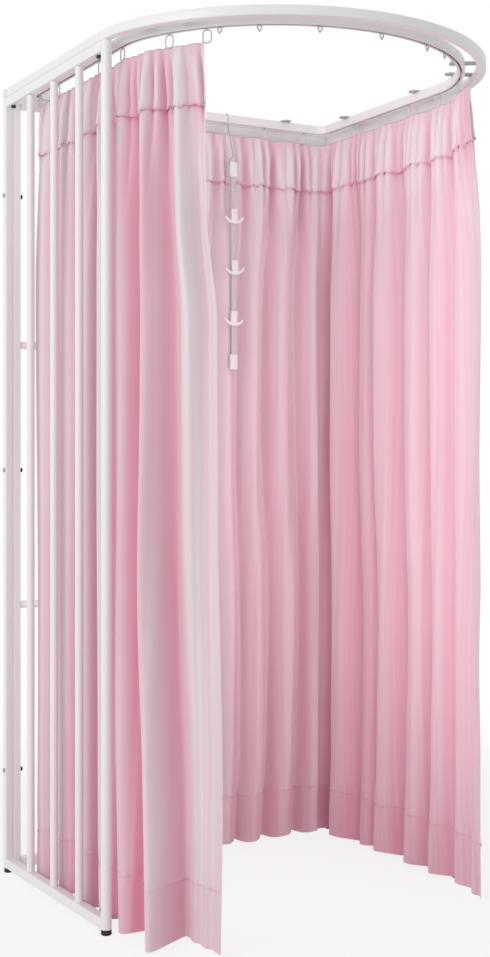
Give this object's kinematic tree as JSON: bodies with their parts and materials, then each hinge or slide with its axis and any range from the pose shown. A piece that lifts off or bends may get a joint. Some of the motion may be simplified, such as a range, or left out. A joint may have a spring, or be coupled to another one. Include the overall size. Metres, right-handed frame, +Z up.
{
  "type": "portable fitting room",
  "caption": "Free-standing changing cabin: a D-shaped ring and curtain track on barred side panels and a back panel, with sliding curtains, curtain rings and a hanging hook strip.",
  "frame": {"origin": "on the floor, in the middle of the plan's bounding box", "axes": "+X right along the back panel seen from the front, +Y to the back, +Z up; the round front and the doorway face -Y"},
  "size_m": [0.99, 1.03, 2],
  "materials": {
    "painted_white": "satin",
    "track_white": "satin",
    "clear_plastic": "satin",
    "hook_plastic": "gloss",
    "foot_rubber": "matte",
    "hook_wire": "brushed",
    "curtain_cloth": "matte"
  },
  "bodies": {
    "frame": {"left_rear_post": "painted_white", "left_front_post": "painted_white", "left_top_rail": "painted_white", "left_bottom_rail": "painted_white", "left_bar_1": "painted_white", "left_bar_2": "painted_white", "left_bar_3": "painted_white", "right_rear_post": "painted_white", "right_front_post": "painted_white", "right_top_rail": "painted_white", "right_bottom_rail": "painted_white", "right_bar_1": "painted_white", "right_bar_2": "painted_white", "right_bar_3": "painted_white", "back_left_post": "painted_white", "back_right_post": "painted_white", "back_top_rail": "painted_white", "back_bottom_rail": "painted_white", "back_mid_rail_lower": "painted_white", "back_mid_rail_upper": "painted_white", "ring_tube_back": "painted_white", "ring_tube_left": "painted_white", "ring_tube_right": "painted_white", "ring_tube_front": "painted_white", "track_back": "track_white", "track_left": "track_white", "track_right": "track_white", "track_front": "track_white", "left_side_glider_1": "clear_plastic", "left_side_glider_2": "clear_plastic", "left_side_glider_3": "clear_plastic", "right_side_glider_1": "clear_plastic", "right_side_glider_2": "clear_plastic", "back_glider_1": "clear_plastic", "back_glider_2": "clear_plastic", "left_curtain_side": "curtain_cloth", "right_curtain_back": "curtain_cloth", "right_curtain_side": "curtain_cloth"},
    "left_curtain_lead": {"left_curtain_front": "curtain_cloth", "left_lead_glider": "clear_plastic"},
    "left_second_ring": {"left_second_glider": "clear_plastic"},
    "right_curtain_lead": {"right_curtain_front": "curtain_cloth", "right_lead_glider": "clear_plastic"},
    "right_second_ring": {"right_second_glider": "clear_plastic"},
    "free_ring_1": {"free_glider_1": "clear_plastic"},
    "free_ring_2": {"free_glider_2": "clear_plastic"},
    "free_ring_3": {"free_glider_3": "clear_plastic"},
    "free_ring_4": {"free_glider_4": "clear_plastic"},
    "free_ring_5": {"free_glider_5": "clear_plastic"},
    "free_ring_6": {"free_glider_6": "clear_plastic"},
    "free_ring_7": {"free_glider_7": "clear_plastic"},
    "strip_wire": {"strip_wire_hook": "hook_wire"},
    "hook_strip": {"hook_strip_tape": "hook_plastic"},
    "hook_1": {"cross_hook_1": "hook_plastic"},
    "hook_2": {"cross_hook_2": "hook_plastic"},
    "hook_3": {"cross_hook_3": "hook_plastic"},
    "foot_left_rear": {"left_rear_foot": "foot_rubber"},
    "foot_left_front": {"left_front_foot": "foot_rubber"},
    "foot_right_rear": {"right_rear_foot": "foot_rubber"},
    "foot_right_front": {"right_front_foot": "foot_rubber"}
  },
  "joints": [
    {"name": "left_curtain_slide", "type": "hinge", "parent": "frame", "child": "left_curtain_lead", "pos_m": [0, -0.00375, 1.985], "axis": [0, 0, 1], "range_deg": [-6, 40.6], "deforming": ["left_curtain_front"]},
    {"name": "right_curtain_slide", "type": "hinge", "parent": "frame", "child": "right_curtain_lead", "pos_m": [0, -0.00375, 1.985], "axis": [0, 0, 1], "range_deg": [-42.6, 4], "deforming": ["right_curtain_front"]},
    {"name": "left_second_slide", "type": "hinge", "parent": "frame", "child": "left_second_ring", "pos_m": [0, -0.00375, 1.985], "axis": [0, 0, 1], "range_deg": [-4.06, 26.88]},
    {"name": "right_second_slide", "type": "hinge", "parent": "frame", "child": "right_second_ring", "pos_m": [0, -0.00375, 1.985], "axis": [0, 0, 1], "range_deg": [-23.74, 2.32]},
    {"name": "free_ring_1_slide", "type": "hinge", "parent": "frame", "child": "free_ring_1", "pos_m": [0, -0.00375, 1.985], "axis": [0, 0, 1], "range_deg": [-5.86, 39.1]},
    {"name": "free_ring_2_slide", "type": "hinge", "parent": "frame", "child": "free_ring_2", "pos_m": [0, -0.00375, 1.985], "axis": [0, 0, 1], "range_deg": [-4.53, 30.1]},
    {"name": "free_ring_3_slide", "type": "hinge", "parent": "frame", "child": "free_ring_3", "pos_m": [0, -0.00375, 1.985], "axis": [0, 0, 1], "range_deg": [-2.41, 15.7]},
    {"name": "free_ring_4_slide", "type": "hinge", "parent": "frame", "child": "free_ring_4", "pos_m": [0, -0.00375, 1.985], "axis": [0, 0, 1], "range_deg": [-1.1, 0.25]},
    {"name": "free_ring_5_slide", "type": "hinge", "parent": "frame", "child": "free_ring_5", "pos_m": [0, -0.00375, 1.985], "axis": [0, 0, 1], "range_deg": [-15.9, 1.58]},
    {"name": "free_ring_6_slide", "type": "hinge", "parent": "frame", "child": "free_ring_6", "pos_m": [0, -0.00375, 1.985], "axis": [0, 0, 1], "range_deg": [-23.9, 2.33]},
    {"name": "free_ring_7_slide", "type": "hinge", "parent": "frame", "child": "free_ring_7", "pos_m": [0, -0.00375, 1.985], "axis": [0, 0, 1], "range_deg": [-27.9, 2.71]},
    {"name": "strip_slide", "type": "slide", "parent": "frame", "child": "strip_wire", "axis": [1, 0, 0], "range_m": [-0.404, 0.161]},
    {"name": "strip_swing", "type": "hinge", "parent": "strip_wire", "child": "hook_strip", "pos_m": [0.124, 0.416, 1.855], "axis": [1, 0, 0], "range_deg": [-40, 0.5]},
    {"name": "hook_1_tilt", "type": "hinge", "parent": "hook_strip", "child": "hook_1", "pos_m": [0.124, 0.41, 1.724], "axis": [0, 1, 0], "range_deg": [-12, 12]},
    {"name": "hook_2_tilt", "type": "hinge", "parent": "hook_strip", "child": "hook_2", "pos_m": [0.124, 0.41, 1.586], "axis": [0, 1, 0], "range_deg": [-12, 12]},
    {"name": "hook_3_tilt", "type": "hinge", "parent": "hook_strip", "child": "hook_3", "pos_m": [0.124, 0.41, 1.448], "axis": [0, 1, 0], "range_deg": [-12, 12]},
    {"name": "left_rear_foot_turn", "type": "hinge", "parent": "frame", "child": "foot_left_rear", "pos_m": [-0.485, 0.505, 0.006], "axis": [0, 0, 1], "continuous": true},
    {"name": "left_front_foot_turn", "type": "hinge", "parent": "frame", "child": "foot_left_front", "pos_m": [-0.483, -0.099, 0.006], "axis": [0, 0, 1], "continuous": true},
    {"name": "right_rear_foot_turn", "type": "hinge", "parent": "frame", "child": "foot_right_rear", "pos_m": [0.485, 0.505, 0.006], "axis": [0, 0, 1], "continuous": true},
    {"name": "right_front_foot_turn", "type": "hinge", "parent": "frame", "child": "foot_right_front", "pos_m": [0.483, -0.099, 0.006], "axis": [0, 0, 1], "continuous": true}
  ],
  "couplings": [
    {"joint": "left_second_slide", "follows": "left_curtain_slide", "ratio": 0.6597},
    {"joint": "right_second_slide", "follows": "right_curtain_slide", "ratio": 0.555},
    {"joint": "free_ring_1_slide", "follows": "left_curtain_slide", "ratio": 0.9606},
    {"joint": "free_ring_2_slide", "follows": "left_curtain_slide", "ratio": 0.7389},
    {"joint": "free_ring_3_slide", "follows": "left_curtain_slide", "ratio": 0.3842},
    {"joint": "free_ring_4_slide", "follows": "left_curtain_slide", "ratio": -0.0246},
    {"joint": "free_ring_5_slide", "follows": "right_curtain_slide", "ratio": 0.3709},
    {"joint": "free_ring_6_slide", "follows": "right_curtain_slide", "ratio": 0.5587},
    {"joint": "free_ring_7_slide", "follows": "right_curtain_slide", "ratio": 0.6526}
  ]
}
